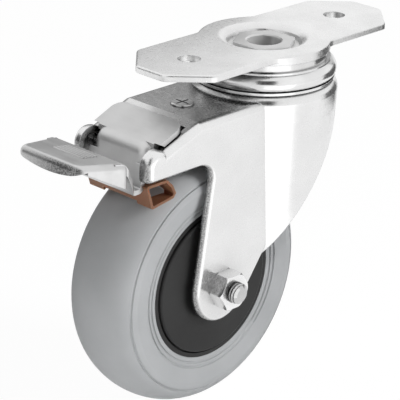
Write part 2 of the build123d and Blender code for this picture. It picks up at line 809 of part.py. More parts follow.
def throat_solid(inset):
    """Solid under the throat's sheet; the inner one runs on past the open front and bottom."""
    run_on = 6 * inset
    wall_shift = (half_sheet - inset) * sqrt(1 + wall_lean**2)
    front = hood_front - 3.5 + run_on
    top_at_axis = hood_height(0) - inset * hood_steep
    wall_at_axis = hood_bend[0] - wall_lean * hood_bend[1] - wall_shift
    corner_x = (wall_at_axis + wall_lean * top_at_axis) / (1 - wall_lean * hood_slope)
    bottom = pivot_z - lug_radius - run_on
    with BuildPart() as body:
        with BuildSketch(Plane.XZ) as outline:
            with BuildLine():
                Polyline(
                    (front, top_at_axis + hood_slope * front),
                    (corner_x, top_at_axis + hood_slope * corner_x),
                    (wall_at_axis + wall_lean * bottom, bottom),
                    (pivot_x + lug_radius + run_on, bottom),
                    close=True,
                )
            make_face()
            bend_corner = outline.vertices().sort_by_distance((corner_x, hood_bend[1]))[0]
            fillet(bend_corner, hood_round - inset)
        extrude(amount=throat_half - inset, both=True)
        bend_faces = body.faces().filter_by(
            lambda f: f.normal_at().X < -0.2 and abs(f.normal_at().Y) < 0.1 and f.center().X < pivot_x
        )
        rims = bend_faces.edges().filter_by(
            lambda e: abs(abs(e.center().Y) - throat_half + inset) < 0.01 and e.center().Z > bottom + 0.5
        )
        fillet(rims, throat_corner - inset)
    return body.part


with BuildPart() as throat:
    add(throat_solid(0))
    add(throat_solid(lever_sheet), mode=Mode.SUBTRACT)

with BuildPart() as brake_lever:
    add(strip.part)
    add(throat.part)
    add(pad.part)
    # seats of the studs, and the wide part's rear edge rounded to pass the wings' ears
    for side in (-1, 1):
        seat = tube_y(stud_radius + seat_gap, side * (throat_half - lever_sheet), side * hood_half, pivot)
        add(seat, mode=Mode.SUBTRACT)
        passing = tube_y(ear_radius + ear_gap, side * throat_half, side * knee_half, (ear_x, ear_z))
        add(passing, mode=Mode.SUBTRACT)
    # grip ribs across the pad
    for index in range(rib_count):
        rib_x = knee[0] - 3 - index * rib_pitch
        rib_z = pad_height(rib_x) - rib_radius * 0.4
        with Locations(Location((rib_x, 0, rib_z), (90, 0, 0))):
            Cylinder(rib_radius, rib_length)
save(brake_lever, "brake_lever")

with BuildPart() as pivot_studs:
    for side in (-1, 1):
        add(tube_y(stud_radius, side * (throat_half - lever_sheet), side * (pocket_end - side_gap), pivot))
        add(tube_y(stud_collar, side * throat_half, side * (leg_inner - side_gap), pivot))
save(pivot_studs, "pivot_studs")

# === brake shoe: moulded saddle with hollow ends ================================================
shoe_outline = [
    (-76.4, shoe_top),
    (-73.5, -44.8),
    (-62.8, -43.3),
    (-61.4, -41.6),
    (-63.0, -38.4),
    (-66.0, shoe_top),
]


def tread_envelope(gap):
    """Everything the rolling tyre fills, grown by a gap."""
    with BuildPart() as envelope:
        with BuildSketch(wheel_plane):
            with BuildLine():
                half = tyre_half + gap
                EllipticalCenterArc((0, widest), half, tyre_crown + gap, start_angle=0, arc_size=180)
                Polyline((-half, widest), (-half, 0), (half, 0), (half, widest))
            make_face()
        revolve(axis=wheel_axis)
    return envelope.part


with BuildPart() as brake_shoe:
    with BuildSketch(Plane.XZ) as ends:
        with BuildLine():
            Polyline(*shoe_outline, close=True)
        make_face()
        fillet(ends.vertices(), 0.8)
    extrude(amount=shoe_half, both=True)
    with BuildSketch(Plane.XZ):
        with BuildLine():
            Polyline(*shoe_outline, close=True)
        make_face()
        offset(amount=-shoe_wall, kind=Kind.INTERSECTION, mode=Mode.REPLACE)
    recess = extrude(amount=shoe_half + 1, both=True, mode=Mode.PRIVATE)
    add(recess, mode=Mode.SUBTRACT)
    # the solid middle reaches up behind the lever's throat
    with BuildSketch(Plane.XZ):
        with BuildLine():
            Polyline(
                (throat_low[0] + wall_lean * (neck_top - throat_low[1]), neck_top),
                throat_low,
                shoe_outline[0],
                shoe_outline[1],
                shoe_outline[2],
                shoe_outline[5],
                (neck_front, neck_top),
                close=True,
            )
        make_face()
    extrude(amount=shoe_half - shoe_pocket, both=True)
    lever_seat = bent_strip(lever_sheet + 2 * seat_gap, throat_half + side_gap)
    add(lever_seat, mode=Mode.SUBTRACT)
    for gap, angle in ((shoe_rest_gap, 0.0), (shoe_brake_gap, brake_angle)):
        saddle = tube_y(wheel_radius + gap, -saddle_half, saddle_half, axle_centre)
        add(tread_envelope(gap).rotate(pivot_axis, angle), mode=Mode.SUBTRACT)
        add(saddle.rotate(pivot_axis, angle), mode=Mode.SUBTRACT)
save(brake_shoe, "brake_shoe")

# === leaf spring and its rivet under the crown ==================================================
with BuildPart() as leaf_spring:
    with BuildSketch(Plane.XZ):
        with BuildLine():
            FilletPolyline(
                (leaf_front, crown_bottom - leaf / 2),
                (leaf_flat_end, crown_bottom - leaf / 2),
                leaf_low,
                leaf_tip,
                radius=[leaf_bend, leaf_bend],
            )
        trace(line_width=leaf)
    extrude(amount=leaf_half, both=True)
    with BuildSketch(Plane.XY.offset(crown_bottom)):
        with Locations((rivet_x, 0)):
            Circle(rivet_radius + seat_gap)
    extrude(amount=-2 * leaf, mode=Mode.SUBTRACT)
save(leaf_spring, "leaf_spring")

with BuildPart() as spring_rivet:
    rivet_bottom = crown_bottom - leaf
    with BuildSketch(Plane.XY.offset(rivet_bottom)):
        with Locations((rivet_x, 0)):
            Circle(rivet_radius)
    extrude(amount=crown_top - rivet_bottom)
    with BuildSketch(Plane.XY.offset(rivet_bottom)):
        with Locations((rivet_x, 0)):
            Circle(rivet_tail_radius)
    extrude(amount=-rivet_tail)
    with BuildSketch(Plane.XY.offset(crown_top)):
        with Locations((rivet_x, 0)):
            Circle(rivet_head_radius)
    extrude(amount=rivet_head)
    fillet(spring_rivet.faces().sort_by(Axis.Z)[-1].edges(), rivet_head_edge)
    for length, width in ((stake_length, stake_width), (stake_width, stake_length)):
        with BuildSketch(Plane.XY.offset(crown_top + rivet_head)):
            with Locations((rivet_x, 0)):
                Rectangle(length, width)
        extrude(amount=-stake_depth, mode=Mode.SUBTRACT)
save(spring_rivet, "spring_rivet")
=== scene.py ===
# %% [markdown]
# # A swivel castor with a foot brake
#
# The castor is a bright zinc pressing on a grey rubber wheel. Its solids come from the shared
# frame, already in place and in metres. This lesson dresses them: it sets a camera, a white
# studio, the finishes of each maker's material, and the one shape that is too fine for the
# solids, the thread on the axle bolt.

import math

import bmesh
import bpy
from mathutils import Matrix, Vector


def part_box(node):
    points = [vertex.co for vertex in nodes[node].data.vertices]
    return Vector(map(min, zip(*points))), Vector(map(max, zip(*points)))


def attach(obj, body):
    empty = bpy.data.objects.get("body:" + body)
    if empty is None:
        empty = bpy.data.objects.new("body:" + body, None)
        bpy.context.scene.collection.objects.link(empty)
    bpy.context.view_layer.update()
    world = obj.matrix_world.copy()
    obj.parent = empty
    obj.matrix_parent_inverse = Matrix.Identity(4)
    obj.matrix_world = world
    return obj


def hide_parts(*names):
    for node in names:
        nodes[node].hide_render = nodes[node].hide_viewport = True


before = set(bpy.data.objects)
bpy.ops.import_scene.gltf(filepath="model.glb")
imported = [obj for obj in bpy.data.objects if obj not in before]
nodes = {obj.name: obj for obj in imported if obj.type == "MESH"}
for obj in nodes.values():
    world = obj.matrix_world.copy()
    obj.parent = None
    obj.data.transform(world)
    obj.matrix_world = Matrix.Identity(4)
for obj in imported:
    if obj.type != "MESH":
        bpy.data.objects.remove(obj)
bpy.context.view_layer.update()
scene = bpy.context.scene
scene.view_settings.view_transform = "Standard"
print("pieces in the frame:", len(nodes))

# %% [markdown]
# ## Camera
#
# A product camera stands well back with a long lens, so the plate and the wheel keep their true
# proportions. The castor is seen from its nut side, from a little above, with the brake pedal
# towards the camera. The camera is placed by the angles of its view, which is easier to reason
# about than a point in space: a turn round the castor, a height above the horizon, and a tilt.

# %% Camera
TURN = math.radians(-46.16)
HEIGHT = math.radians(22.60)
TILT = math.radians(1.40)
STAND_OFF = 0.73243
SLIDE_RIGHT, SLIDE_UP = -0.02400, -0.06144
SENSOR_WIDTH, LENS = 36, 176.14
CLIP_START, CLIP_END = 0.05, 50

level_right = Vector((math.cos(TURN), math.sin(TURN), 0))
back = Vector(
    (
        math.sin(TURN) * math.cos(HEIGHT),
        -math.cos(TURN) * math.cos(HEIGHT),
        math.sin(HEIGHT),
    )
)
level_up = back.cross(level_right)
right = math.cos(TILT) * level_right + math.sin(TILT) * level_up
up = -math.sin(TILT) * level_right + math.cos(TILT) * level_up

camera = bpy.data.objects.new("camera", bpy.data.cameras.new("camera"))
camera.data.sensor_width = SENSOR_WIDTH
camera.data.lens = LENS
camera.data.clip_start = CLIP_START
camera.data.clip_end = CLIP_END
camera.matrix_world = Matrix(
    (
        (right.x, up.x, back.x, 0),
        (right.y, up.y, back.y, 0),
        (right.z, up.z, back.z, 0),
        (0, 0, 0, 1),
    )
)
camera.location = right * SLIDE_RIGHT + up * SLIDE_UP + back * STAND_OFF
scene.collection.objects.link(camera)
scene.camera = camera
print("camera at", [round(v, 3) for v in camera.location])


# %% [markdown]
# ## Helpers for node trees
#
# Every finish below is a tree of shader nodes. A few small helpers keep the trees short. One adds
# a node with its settings, one joins two sockets, one starts a material, one maps a mask to
# another range, and one blends two colours by a mask.

# %% Node helpers
def add_node(tree, kind, inputs=None, **settings):
    """Adds a node, sets its properties and its unlinked inputs."""
    node = tree.nodes.new(kind)
    for key, value in settings.items():
        setattr(node, key, value)
    for key, value in (inputs or {}).items():
        node.inputs[key].default_value = value
    return node


def join(tree, source, target):
    """Links an output socket to an input socket."""
    tree.links.new(source, target)


def new_material(name):
    """An empty material with nodes and its tree."""
    material = bpy.data.materials.new(name)
    material.use_nodes = True
    material.node_tree.nodes.clear()
    return material, material.node_tree


def finish_surface(tree, source):
    """Joins a shader to the material's output."""
    join(tree, source, add_node(tree, "ShaderNodeOutputMaterial").inputs[0])


def span(tree, value, from_low, from_high, to_low, to_high):
    """Maps a mask from one range to another."""
    limits = {"From Min": from_low, "From Max": from_high, "To Min": to_low, "To Max": to_high}
    node = add_node(tree, "ShaderNodeMapRange", limits)
    join(tree, value, node.inputs["Value"])
    return node.outputs[0]


def blend(tree, factor, low, high, kind="MIX"):
    """A colour between two by a mask. Each of the three is a value or an output socket."""
    mix = add_node(tree, "ShaderNodeMix", data_type="RGBA", blend_type=kind)
    for label, value in (("Factor", factor), ("A", low), ("B", high)):
        if isinstance(value, float):
            mix.inputs[label].default_value = value
        elif isinstance(value, tuple):
            mix.inputs[label].default_value = (*value, 1)
        else:
            join(tree, value, mix.inputs[label])
    return mix.outputs["Result"]


def product(tree, first, second):
    """Two masks multiplied."""
    node = add_node(tree, "ShaderNodeMath", operation="MULTIPLY")
    join(tree, first, node.inputs[0])
    join(tree, second, node.inputs[1])
    return node.outputs[0]


def share_along(tree, vector, direction):
    """How far a vector points along a fixed direction."""
    node = add_node(tree, "ShaderNodeVectorMath", operation="DOT_PRODUCT")
    node.inputs[1].default_value = direction
    join(tree, vector, node.inputs[0])
    return node.outputs["Value"]


print("node helpers ready")


# %% [markdown]
# ## White studio
#
# The castor stands on a white sweep. The floor and the world look white to the camera and to
# mirror-like metal, but they light rubber and plastic only at a plain level, so colours come out
# as they are written. That plain light is stronger from the horizon than from overhead, as in a
# studio with low windows, which gives the tread its darker top.
#
# The floor lets a little of its own shading through, and that is the soft shadow under the
# wheel. It is solid only from above, so a camera below it still sees the castor.

# %% World
WHITE = (1, 1, 1, 1)
FLOOR_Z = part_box("tyre")[0].z
SKY_LOW, SKY_HIGH = 0.35, 0.02
SKY_FADE_END = 0.45


def sees_studio(tree):
    """1 for camera, glossy and transmission rays."""
    path = add_node(tree, "ShaderNodeLightPath")
    either = add_node(tree, "ShaderNodeMath", operation="MAXIMUM")
    join(tree, path.outputs["Is Camera Ray"], either.inputs[0])
    join(tree, path.outputs["Is Glossy Ray"], either.inputs[1])
    any_ray = add_node(tree, "ShaderNodeMath", operation="MAXIMUM")
    join(tree, either.outputs[0], any_ray.inputs[0])
    join(tree, path.outputs["Is Transmission Ray"], any_ray.inputs[1])
    return any_ray.outputs[0]


def mix_shaders(tree, factor, low, high):
    """A shader between two by a mask."""
    node = add_node(tree, "ShaderNodeMixShader")
    for index, source in enumerate((factor, low, high)):
        join(tree, source, node.inputs[index])
    return node.outputs[0]


world = bpy.data.worlds.new("studio")
scene.world = world
world.use_nodes = True
tree = world.node_tree
tree.nodes.clear()
direction = add_node(tree, "ShaderNodeTexCoord")
height = add_node(tree, "ShaderNodeSeparateXYZ")
join(tree, direction.outputs["Generated"], height.inputs[0])
lit = add_node(tree, "ShaderNodeBackground", {"Color": WHITE})
strength = span(tree, height.outputs["Z"], 0.0, SKY_FADE_END, SKY_LOW, SKY_HIGH)
join(tree, strength, lit.inputs["Strength"])
seen = add_node(tree, "ShaderNodeBackground", {"Color": WHITE, "Strength": 1.0})
mixed = mix_shaders(tree, sees_studio(tree), lit.outputs[0], seen.outputs[0])
join(tree, mixed, add_node(tree, "ShaderNodeOutputWorld").inputs[0])
print("sky strength", SKY_LOW, "at the horizon,", SKY_HIGH, "overhead")

# %% Floor
FLOOR_SIZE = 24
FLOOR_PAPER = (0.9, 0.9, 0.9, 1)
FLOOR_GLOW = 1.05
SHADOW_SHARE = 0.08

floor_material, tree = new_material("white_sweep")
paper = add_node(tree, "ShaderNodeBsdfDiffuse", {"Color": FLOOR_PAPER})
glow = add_node(tree, "ShaderNodeEmission", {"Color": WHITE, "Strength": FLOOR_GLOW})
share = add_node(tree, "ShaderNodeMath", operation="MULTIPLY")
share.inputs[1].default_value = 1 - SHADOW_SHARE
join(tree, sees_studio(tree), share.inputs[0])
from_above = mix_shaders(tree, share.outputs[0], paper.outputs[0], glow.outputs[0])
surface = add_node(tree, "ShaderNodeNewGeometry")
nothing = add_node(tree, "ShaderNodeBsdfTransparent")
finish_surface(
    tree, mix_shaders(tree, surface.outputs["Backfacing"], from_above, nothing.outputs[0])
)


def flat_sheet(name, width, height, material):
    """A rectangle in its own XY plane, facing +Z."""
    mesh = bpy.data.meshes.new(name)
    w, h = width / 2, height / 2
    mesh.from_pydata([(-w, -h, 0), (w, -h, 0), (w, h, 0), (-w, h, 0)], [], [(0, 1, 2, 3)])
    mesh.materials.append(material)
    sheet = bpy.data.objects.new(name, mesh)
    scene.collection.objects.link(sheet)
    return sheet


floor = flat_sheet("floor", FLOOR_SIZE, FLOOR_SIZE, floor_material)
floor.location.z = FLOOR_Z
print("floor at z =", round(FLOOR_Z, 4))

# %% [markdown]
# ## Lamps and reflection cards
#
# Three soft boxes light the rubber, the plastic and the shadow. The key stands in front on the
# right, a weak one behind lifts the far side, and a tiny one close to the floor reaches the lower
# part of the tread, which would be too dark under the pedal. Mirror rays don't see any of them,
# because polished metal would show them as hard white squares.
#
# Polished metal shows its surroundings more than its own colour. Studios hang dark cards for
# crisp dark lines and bright cards for white highlights. Here the cards are seen only by mirror
# rays, so they never stand in the way of a camera and never light the rubber.

# %% Lamps
AIM = Vector((-0.02, 0, -0.06))
LAMPS = {  # place, size in metres, power in watts
    "key": ((0.50, -0.95, 0.45), 0.5, 10.6),
    "low": ((-0.24, -0.10, FLOOR_Z + 0.004), 0.02, 0.24),
    "rear": ((-0.3, 0.9, 0.5), 0.6, 1.6),
}

for name, (place, size, power) in LAMPS.items():
    lamp = bpy.data.objects.new(name, bpy.data.lights.new(name, "AREA"))
    lamp.data.size = size
    lamp.data.energy = power
    lamp.location = place
    lamp.rotation_mode = "QUATERNION"
    lamp.rotation_quaternion = (AIM - lamp.location).to_track_quat("-Z", "Y")
    lamp.visible_glossy = False
    lamp.visible_camera = False
    scene.collection.objects.link(lamp)
print("soft boxes:", list(LAMPS))

# %% Reflection cards
CARDS = {  # middle, facing, width, height, strength
    "bright_card_front": ((-0.047, -0.108, -0.077), (0.38, 0.925, 0), 0.095, 0.11, 1.45),
    "dark_card_lens": ((-0.50, -0.56, 0.42), (0.62, 0.66, -0.42), 0.42, 0.72, 0.06),
    "dark_card_right": ((0.12, -0.045, -0.030), (-1, 0, 0), 0.10, 0.07, 0.12),
    "grey_card_left": ((-0.52, 0.42, 0.12), (0.76, -0.62, -0.1), 0.60, 0.40, 0.22),
    "dark_card_behind": ((0.030, 0.10, -0.003), (0, -1, 0), 0.14, 0.094, 0.30),
}

for name, (middle, facing, width, height, strength) in CARDS.items():
    material, tree = new_material(name)
    light = add_node(tree, "ShaderNodeEmission", {"Color": WHITE, "Strength": strength})
    finish_surface(tree, light.outputs[0])
    sheet = flat_sheet(name, width, height, material)
    sheet.location = middle
    sheet.rotation_mode = "QUATERNION"
    sheet.rotation_quaternion = Vector(facing).to_track_quat("Z", "Y")
    sheet.visible_camera = False
    sheet.visible_diffuse = False
    sheet.visible_shadow = False
    sheet.visible_transmission = False
print("reflection cards:", list(CARDS))


# %% [markdown]
# ## Shared effects
#
# Four effects serve several finishes, so each is a node group with named sockets, built once.
# The edge group finds the edges of a pressing and softens them, as plating and tumbling do. Its
# mask also paints a highlight along zinc edges, and a scuff along moulded ones that is partly a
# painted highlight on the shoe.
# `fine_grain` is the mottled surface of plated sheet or moulded skin.
# `settled_dust` is the faint dust that a new part picks up on its upper faces.
# The corner group says how much open air a point sees, and paints shade into the corners of
# bright metal by it.

# %% Group helpers
def new_group(name, inputs, outputs):
    """A shader node group with named sockets. Returns the group and its two end nodes."""
    group = bpy.data.node_groups.new(name, "ShaderNodeTree")
    for label, kind, value in inputs:
        socket = group.interface.new_socket(label, in_out="INPUT", socket_type=kind)
        socket.default_value = value
    for label, kind in outputs:
        group.interface.new_socket(label, in_out="OUTPUT", socket_type=kind)
    return group, group.nodes.new("NodeGroupInput"), group.nodes.new("NodeGroupOutput")


def place_group(tree, group, values):
    """Puts a group into a material with its own values."""
    node = tree.nodes.new("ShaderNodeGroup")
    node.node_tree = group
    for label, value in values.items():
        node.inputs[label].default_value = value
    return node


print("group helpers ready")

# %% Worn edge and painted edge highlight
worn_and_highlit_edge, ends_in, ends_out = new_group(
    "worn_and_highlit_edge",
    [("Radius", "NodeSocketFloat", 0.0004), ("Sharpness", "NodeSocketFloat", 6.0)],
    [("Mask", "NodeSocketFloat"), ("Normal", "NodeSocketVector")],
)
bevel = add_node(worn_and_highlit_edge, "ShaderNodeBevel", samples=4)
surface = add_node(worn_and_highlit_edge, "ShaderNodeNewGeometry")
likeness = add_node(worn_and_highlit_edge, "ShaderNodeVectorMath", operation="DOT_PRODUCT")
difference = add_node(worn_and_highlit_edge, "ShaderNodeMath", operation="SUBTRACT")
difference.inputs[0].default_value = 1.0
mask = add_node(worn_and_highlit_edge, "ShaderNodeMath", operation="MULTIPLY", use_clamp=True)
join(worn_and_highlit_edge, ends_in.outputs["Radius"], bevel.inputs["Radius"])
join(worn_and_highlit_edge, bevel.outputs["Normal"], likeness.inputs[0])
join(worn_and_highlit_edge, surface.outputs["Normal"], likeness.inputs[1])
join(worn_and_highlit_edge, likeness.outputs["Value"], difference.inputs[1])
join(worn_and_highlit_edge, difference.outputs[0], mask.inputs[0])
join(worn_and_highlit_edge, ends_in.outputs["Sharpness"], mask.inputs[1])
join(worn_and_highlit_edge, mask.outputs[0], ends_out.inputs["Mask"])
join(worn_and_highlit_edge, bevel.outputs["Normal"], ends_out.inputs["Normal"])
print(worn_and_highlit_edge.name, "has", len(worn_and_highlit_edge.nodes), "nodes")

# %% Fine grain
fine_grain, grain_in, grain_out = new_group(
    "fine_grain",
    [
        ("Grain", "NodeSocketFloat", 900.0),
        ("Patches", "NodeSocketFloat", 60.0),
        ("Stretch", "NodeSocketVector", (1.0, 1.0, 1.0)),
    ],
    [("Grain", "NodeSocketFloat"), ("Patches", "NodeSocketFloat")],
)
place = add_node(fine_grain, "ShaderNodeTexCoord")
stretched = add_node(fine_grain, "ShaderNodeVectorMath", operation="MULTIPLY")
small = add_node(fine_grain, "ShaderNodeTexNoise", {"Detail": 4.0, "Roughness": 0.6})
large = add_node(fine_grain, "ShaderNodeTexNoise", {"Detail": 3.0, "Roughness": 0.5})
join(fine_grain, place.outputs["Object"], stretched.inputs[0])
join(fine_grain, grain_in.outputs["Stretch"], stretched.inputs[1])
join(fine_grain, stretched.outputs[0], small.inputs["Vector"])
join(fine_grain, place.outputs["Object"], large.inputs["Vector"])
join(fine_grain, grain_in.outputs["Grain"], small.inputs["Scale"])
join(fine_grain, grain_in.outputs["Patches"], large.inputs["Scale"])
join(fine_grain, small.outputs["Fac"], grain_out.inputs["Grain"])
join(fine_grain, large.outputs["Fac"], grain_out.inputs["Patches"])
print(fine_grain.name, "has", len(fine_grain.nodes), "nodes")

# %% Settled dust
settled_dust, dust_in, dust_out = new_group(
    "settled_dust",
    [("Amount", "NodeSocketFloat", 0.1), ("Scale", "NodeSocketFloat", 400.0)],
    [("Mask", "NodeSocketFloat")],
)
surface = add_node(settled_dust, "ShaderNodeNewGeometry")
split = add_node(settled_dust, "ShaderNodeSeparateXYZ")
place = add_node(settled_dust, "ShaderNodeTexCoord")
specks = add_node(settled_dust, "ShaderNodeTexNoise", {"Detail": 5.0, "Roughness": 0.7})
scaled = add_node(settled_dust, "ShaderNodeMath", operation="MULTIPLY", use_clamp=True)
join(settled_dust, surface.outputs["Normal"], split.inputs[0])
join(settled_dust, place.outputs["Object"], specks.inputs["Vector"])
join(settled_dust, dust_in.outputs["Scale"], specks.inputs["Scale"])
upward = span(settled_dust, split.outputs["Z"], -0.2, 1.0, 0, 1)
clumps = span(settled_dust, specks.outputs["Fac"], 0.42, 0.75, 0, 1)
join(settled_dust, product(settled_dust, upward, clumps), scaled.inputs[0])
join(settled_dust, dust_in.outputs["Amount"], scaled.inputs[1])
join(settled_dust, scaled.outputs[0], dust_out.inputs["Mask"])
print(settled_dust.name, "has", len(settled_dust.nodes), "nodes")

# %% Painted corner shade
painted_corner_shade, shade_in, shade_out = new_group(
    "painted_corner_shade",
    [("Reach", "NodeSocketFloat", 0.02), ("Depth", "NodeSocketFloat", 1.0)],
    [("Shade", "NodeSocketFloat")],
)
free = add_node(painted_corner_shade, "ShaderNodeAmbientOcclusion", samples=8)
deep = add_node(painted_corner_shade, "ShaderNodeMath", operation="POWER")
join(painted_corner_shade, shade_in.outputs["Reach"], free.inputs["Distance"])
join(painted_corner_shade, free.outputs["AO"], deep.inputs[0])
join(painted_corner_shade, shade_in.outputs["Depth"], deep.inputs[1])
join(painted_corner_shade, deep.outputs[0], shade_out.inputs["Shade"])
print("groups:", [g.name for g in bpy.data.node_groups])

# %% [markdown]
# ## Zinc plating
#
# The pressings are bright zinc over steel: a cool white metal, mirror-like on turned rims and a
# little cloudy on flat sheet, where the rolled grain still shows. One function makes each zinc,
# and the values say how cloudy that piece is.
#
# Every zinc also gets a painted highlight along its edges and painted shade in its corners. Two
# places of the pressings get more painted shade, as fine dark specks: the cut edge down the back
# of each leg, where it stands for the dark reflection of the wheel guard, and the rim of the
# pedal.
# Each is found by the way that the face turns and by how far along the castor it lies.

# %% Zinc
PAINTED_EDGE_HIGHLIGHT = (0.95, 0.96, 0.97)
CORNER_SHADE = (0.05, 0.05, 0.05)
PATCH_SCALE = 75.0
SPECK_SCALE = 2200.0
SHADE_SPECK_TONES = (0.02, 0.02, 0.02), (0.45, 0.45, 0.45)


def greys(light, dark):
    """Two neutral tones."""
    return (light, light, light), (dark, dark, dark)


def relief_normal(tree, texture, edges, depth):
    """The grain as relief over the softened edges."""
    relief = add_node(tree, "ShaderNodeBump", {"Strength": 1.0, "Distance": depth})
    join(tree, texture.outputs["Grain"], relief.inputs["Height"])
    join(tree, edges.outputs["Normal"], relief.inputs["Normal"])
    return relief.outputs["Normal"]


def paint_shade_on_faces(tree, colour, facing, share, side, start, ramp):
    """Painted shade as dark specks on the faces that turn one way, from a start along a side over
    a ramp.
    """
    coordinates = add_node(tree, "ShaderNodeTexCoord")
    turned = share_along(tree, coordinates.outputs["Normal"], facing)
    along = share_along(tree, coordinates.outputs["Object"], side)
    shade_share = product(
        tree,
        span(tree, turned, 0.30, 0.62, 0, share),
        span(tree, along, start, start + ramp, 0, 1),
    )
    specks = add_node(tree, "ShaderNodeTexNoise", {"Scale": SPECK_SCALE, "Detail": 2.0})
    join(tree, coordinates.outputs["Object"], specks.inputs["Vector"])
    speckled = blend(tree, span(tree, specks.outputs["Fac"], 0.4, 0.6, 0, 1), *SHADE_SPECK_TONES)
    tint = blend(tree, shade_share, (1, 1, 1), speckled)
    return blend(tree, 1.0, colour, tint, kind="MULTIPLY")


def zinc(
    name, tones, rough, grain, bump,
    stretch=(1, 1, 1), edge=0.0004, painted_shade=(0.02, 0.4), metal=1.0, shade_faces=None,
):
    """Bright plating: two tones in patches, grainy roughness, a painted highlight on the edges,
    painted shade in the corners.
    """
    light, dark = tones
    smooth, cloudy = rough
    reach, depth = painted_shade
    material, tree = new_material(name)
    shader = add_node(tree, "ShaderNodeBsdfPrincipled", {"Metallic": metal})
    # painted shade in the corners, darker where a point sees less open air
    shade = place_group(tree, painted_corner_shade, {"Reach": reach, "Depth": depth})
    weave = {"Grain": grain, "Patches": PATCH_SCALE, "Stretch": stretch}
    texture = place_group(tree, fine_grain, weave)
    edges = place_group(tree, worn_and_highlit_edge, {"Radius": edge, "Sharpness": 5.0})
    patches = span(tree, texture.outputs["Patches"], 0.35, 0.65, 0, 1)
    colour = blend(tree, patches, dark, light)
    # a painted highlight along the edges, then painted shade in the corners
    colour = blend(tree, edges.outputs["Mask"], colour, PAINTED_EDGE_HIGHLIGHT)
    colour = blend(tree, shade.outputs["Shade"], CORNER_SHADE, colour)
    # painted shade as fine dark specks on the faces given for this zinc
    if shade_faces:
        colour = paint_shade_on_faces(tree, colour, *shade_faces)
    join(tree, colour, shader.inputs["Base Color"])
    roughness = span(tree, texture.outputs["Grain"], 0.3, 0.7, smooth, cloudy)
    join(tree, roughness, shader.inputs["Roughness"])
    join(tree, relief_normal(tree, texture, edges, bump), shader.inputs["Normal"])
    finish_surface(tree, shader.outputs[0])
    return material


print("zinc function ready")

# %% Zinc finishes
# faces with painted shade: facing, share, side, start and ramp in metres
PEDAL_RIM_SHADE = (-1, 0, 0), 0.86, (-1, -1, 0), 0.092, 0.022
# on the back edge of each leg the painted shade stands for the dark reflection of the wheel guard
LEG_EDGE_SHADE = (-0.85, 0, -0.53), 0.75, (-1, 0, 0), 0.034, 0.01

# every zinc gets painted shade in its corners; each reach and depth pair sets its spread and
# darkness
zinc_sheet = zinc("zinc_sheet", greys(0.84, 0.80), (0.18, 0.30), 500.0, 0.00001, shade_faces=LEG_EDGE_SHADE)
zinc_plate = zinc("zinc_plate", greys(0.85, 0.78), (0.24, 0.38), 700.0, 0.00002)
zinc_turned = zinc("zinc_turned", greys(0.88, 0.78), (0.12, 0.24), 900.0, 0.00001)
zinc_pin = zinc(
    "zinc_pin", greys(0.88, 0.78), (0.14, 0.26), 900.0, 0.00001, painted_shade=(0.02, 0.0), metal=0.4
)
zinc_lever = zinc(
    "zinc_lever", greys(0.66, 0.60), (0.32, 0.46), 600.0, 0.00004,
    stretch=(1.0, 0.15, 1.0), edge=0.00015, painted_shade=(0.003, 1.2), shade_faces=PEDAL_RIM_SHADE,
)
zinc_bolt = zinc(
    "zinc_bolt", greys(0.93, 0.84), (0.14, 0.28), 1100.0, 0.00002,
    edge=0.0002, painted_shade=(0.003, 0.25),
)
zinc_rivet = zinc(
    "zinc_rivet", greys(0.80, 0.72), (0.14, 0.26), 1100.0, 0.00002,
    edge=0.0002, painted_shade=(0.0015, 2.5),
)
zinc_thread = zinc(
    "zinc_thread", greys(0.60, 0.49), (0.10, 0.20), 1100.0, 0.00001,
    edge=0.0001, painted_shade=(0.0016, 4.0),
)
spring_steel = zinc("spring_steel", greys(0.50, 0.40), (0.20, 0.34), 800.0, 0.00001)
ball_steel = zinc("ball_steel", greys(0.78, 0.72), (0.04, 0.10), 300.0, 0.000004)
print("zinc finishes made")

# %% [markdown]
# ## Rubber, plastic and the brake shoe
#
# The tyre is a grey, non-marking rubber with a matt moulded skin. The centre, guards and roller
# cage are black polyamide with a fine spark-eroded texture. The shoe is a brown polyurethane
# that lets a little light in at its thin ends. All three are scuffed to a paler tone along
# their edges, which on the shoe's rims is also a painted highlight, and carry a trace of dust on
# top.

# %% Moulded materials
DUST_TONE = (0.55, 0.55, 0.54)
SKIN_PATCH_SCALE = 45.0
DUST_SCALE = 500.0
THIN_WALL = 0.004


def moulded(name, tones, rough, grain, bump, dust, specular, scuff_and_highlight, thin=0.0):
    """A moulded skin: slight tone patches, grain in relief, scuffed edges, a trace of dust. On
    the shoe the edge tone is also a painted highlight.
    """
    light, dark = tones
    smooth, rougher = rough
    material, tree = new_material(name)
    settings = {
        "Specular IOR Level": specular,
        "Subsurface Weight": thin,
        "Subsurface Scale": THIN_WALL,
    }
    shader = add_node(tree, "ShaderNodeBsdfPrincipled", settings)
    weave = {"Grain": grain, "Patches": SKIN_PATCH_SCALE, "Stretch": (1, 1, 1)}
    texture = place_group(tree, fine_grain, weave)
    edges = place_group(tree, worn_and_highlit_edge, {"Radius": 0.0004, "Sharpness": 1.0})
    film = place_group(tree, settled_dust, {"Amount": dust, "Scale": DUST_SCALE})
    patches = span(tree, texture.outputs["Patches"], 0.35, 0.65, 0, 1)
    colour = blend(tree, patches, dark, light)
    colour = blend(tree, film.outputs["Mask"], colour, DUST_TONE)
    # scuff along the edges; on the shoe it is also a painted highlight on the rims
    colour = blend(tree, edges.outputs["Mask"], colour, scuff_and_highlight)
    join(tree, colour, shader.inputs["Base Color"])
    roughness = span(tree, texture.outputs["Grain"], 0.3, 0.7, smooth, rougher)
    join(tree, roughness, shader.inputs["Roughness"])
    join(tree, relief_normal(tree, texture, edges, bump), shader.inputs["Normal"])
    finish_surface(tree, shader.outputs[0])
    return material


